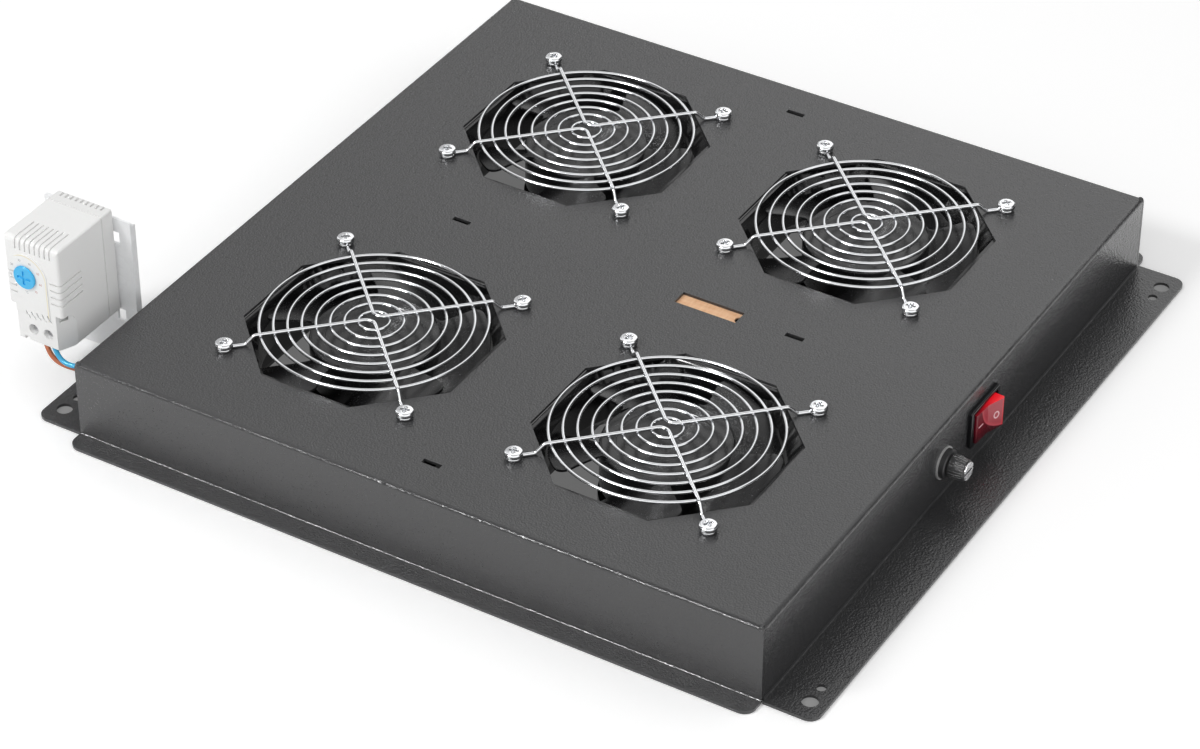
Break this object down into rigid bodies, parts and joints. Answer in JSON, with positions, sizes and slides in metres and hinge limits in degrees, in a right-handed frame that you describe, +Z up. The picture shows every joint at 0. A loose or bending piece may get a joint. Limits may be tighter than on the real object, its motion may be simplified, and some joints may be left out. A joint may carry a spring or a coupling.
{
  "type": "rack fan tray",
  "caption": "Folded steel roof tray for a cabinet: axial fans under wire guards, a lit rocker switch, a fuse holder and a cabinet thermostat on a bracket.",
  "frame": {"origin": "middle of the flange hole pattern, on the underside of the mounting flanges", "axes": "+Z up through the fans, -Y towards the wall with the switch and the fuse, +X to the right when facing that wall"},
  "size_m": [0.42, 0.4728, 0.0898],
  "materials": {
    "powder_coat": "black powder coat with a fine leather texture",
    "fan_alloy": "die-cast aluminium, black paint",
    "fan_plastic": "black glass-filled plastic",
    "rotor_steel": "pressed steel",
    "shaft_steel": "ground steel",
    "bearing_steel": "ground steel",
    "stator_iron": "laminated iron with windings",
    "guard_chrome": "bright chrome-plated wire",
    "screw_zinc": "bright zinc plate",
    "nut_zinc": "bright zinc plate",
    "card": "copper-brown insulating card",
    "switch_black": "gloss black plastic",
    "rocker_red": "translucent red plastic",
    "tab_brass": "tinned brass tabs",
    "fuse_black": "black moulded plastic",
    "fuse_ring_metal": "bright plated ring",
    "fuse_glass": "clear glass tube with plated ends",
    "thermo_shell": "light grey plastic, fine satin",
    "thermo_base": "light grey plastic, fine satin",
    "dial_blue": "blue plastic",
    "terminal_zinc": "zinc-plated steel",
    "bimetal": "bimetal strip",
    "galvanised": "galvanised sheet, matt",
    "grommet_rubber": "black rubber",
    "brown_lead": "brown PVC insulation",
    "blue_lead": "blue PVC insulation",
    "strip_plastic": "natural polyamide",
    "earth_brass": "brass"
  },
  "bodies": {
    "tray": {"tray_top": "powder_coat", "tray_front_wall": "powder_coat", "tray_back_wall": "powder_coat", "tray_left_wall": "powder_coat", "tray_right_wall": "powder_coat", "fan_frame_back_left": "fan_alloy", "fan_bearings_back_left": "bearing_steel", "stator_back_left": "stator_iron", "fan_guard_back_left": "guard_chrome", "fan_frame_back_right": "fan_alloy", "fan_bearings_back_right": "bearing_steel", "stator_back_right": "stator_iron", "fan_guard_back_right": "guard_chrome", "fan_frame_front_left": "fan_alloy", "fan_bearings_front_left": "bearing_steel", "stator_front_left": "stator_iron", "fan_guard_front_left": "guard_chrome", "fan_frame_front_right": "fan_alloy", "fan_bearings_front_right": "bearing_steel", "stator_front_right": "stator_iron", "fan_guard_front_right": "guard_chrome", "guard_screws": "screw_zinc", "bracket_screws": "screw_zinc", "guard_nuts": "nut_zinc", "bracket_nuts": "nut_zinc", "insulating_card": "card", "switch_body": "switch_black", "switch_terminals": "tab_brass", "fuse_terminals": "tab_brass", "fuse_holder_body": "fuse_black", "fuse_holder_nut": "fuse_black", "fuse_holder_ring": "fuse_ring_metal", "thermostat_housing": "thermo_shell", "thermostat_base": "thermo_base", "thermostat_terminal_screws": "terminal_zinc", "terminal_strip_screws": "terminal_zinc", "thermostat_bimetal": "bimetal", "thermostat_bracket": "galvanised", "thermostat_grommet": "grommet_rubber", "mains_grommet": "grommet_rubber", "lead_brown": "brown_lead", "lead_blue": "blue_lead", "terminal_strip": "strip_plastic", "earth_stud": "earth_brass"},
    "rotor_back_left": {"impeller_back_left": "fan_plastic", "rotor_cup_back_left": "rotor_steel", "fan_shaft_back_left": "shaft_steel"},
    "rotor_back_right": {"impeller_back_right": "fan_plastic", "rotor_cup_back_right": "rotor_steel", "fan_shaft_back_right": "shaft_steel"},
    "rotor_front_left": {"impeller_front_left": "fan_plastic", "rotor_cup_front_left": "rotor_steel", "fan_shaft_front_left": "shaft_steel"},
    "rotor_front_right": {"impeller_front_right": "fan_plastic", "rotor_cup_front_right": "rotor_steel", "fan_shaft_front_right": "shaft_steel"},
    "rocker": {"switch_rocker": "rocker_red"},
    "dial": {"thermostat_dial": "dial_blue"},
    "fuse_carrier": {"fuse_link": "fuse_glass"},
    "fuse_cap": {"fuse_cap": "fuse_black"}
  },
  "joints": [
    {"name": "fan_spin_back_left", "type": "hinge", "parent": "tray", "child": "rotor_back_left", "pos_m": [-0.0995, 0.083, 0.02], "axis": [0, 0, 1], "continuous": true},
    {"name": "fan_spin_back_right", "type": "hinge", "parent": "tray", "child": "rotor_back_right", "pos_m": [0.0995, 0.083, 0.02], "axis": [0, 0, 1], "continuous": true},
    {"name": "fan_spin_front_left", "type": "hinge", "parent": "tray", "child": "rotor_front_left", "pos_m": [-0.0995, -0.083, 0.02], "axis": [0, 0, 1], "continuous": true},
    {"name": "fan_spin_front_right", "type": "hinge", "parent": "tray", "child": "rotor_front_right", "pos_m": [0.0995, -0.083, 0.02], "axis": [0, 0, 1], "continuous": true},
    {"name": "switch_rock", "type": "hinge", "parent": "tray", "child": "rocker", "pos_m": [0.0169, -0.189, 0.0226], "axis": [0, 0, 1], "range_deg": [0, 24]},
    {"name": "dial_turn", "type": "hinge", "parent": "tray", "child": "dial", "pos_m": [-0.18, 0.2322, 0.0687], "axis": [-1, 0, 0], "range_deg": [-135, 135]},
    {"name": "fuse_withdraw", "type": "slide", "parent": "tray", "child": "fuse_carrier", "axis": [0, -1, 0], "range_m": [0, 0.03]},
    {"name": "fuse_cap_turn", "type": "hinge", "parent": "fuse_carrier", "child": "fuse_cap", "pos_m": [-0.0225, -0.191, 0.0198], "axis": [0, -1, 0], "range_deg": [-90, 0]}
  ]
}
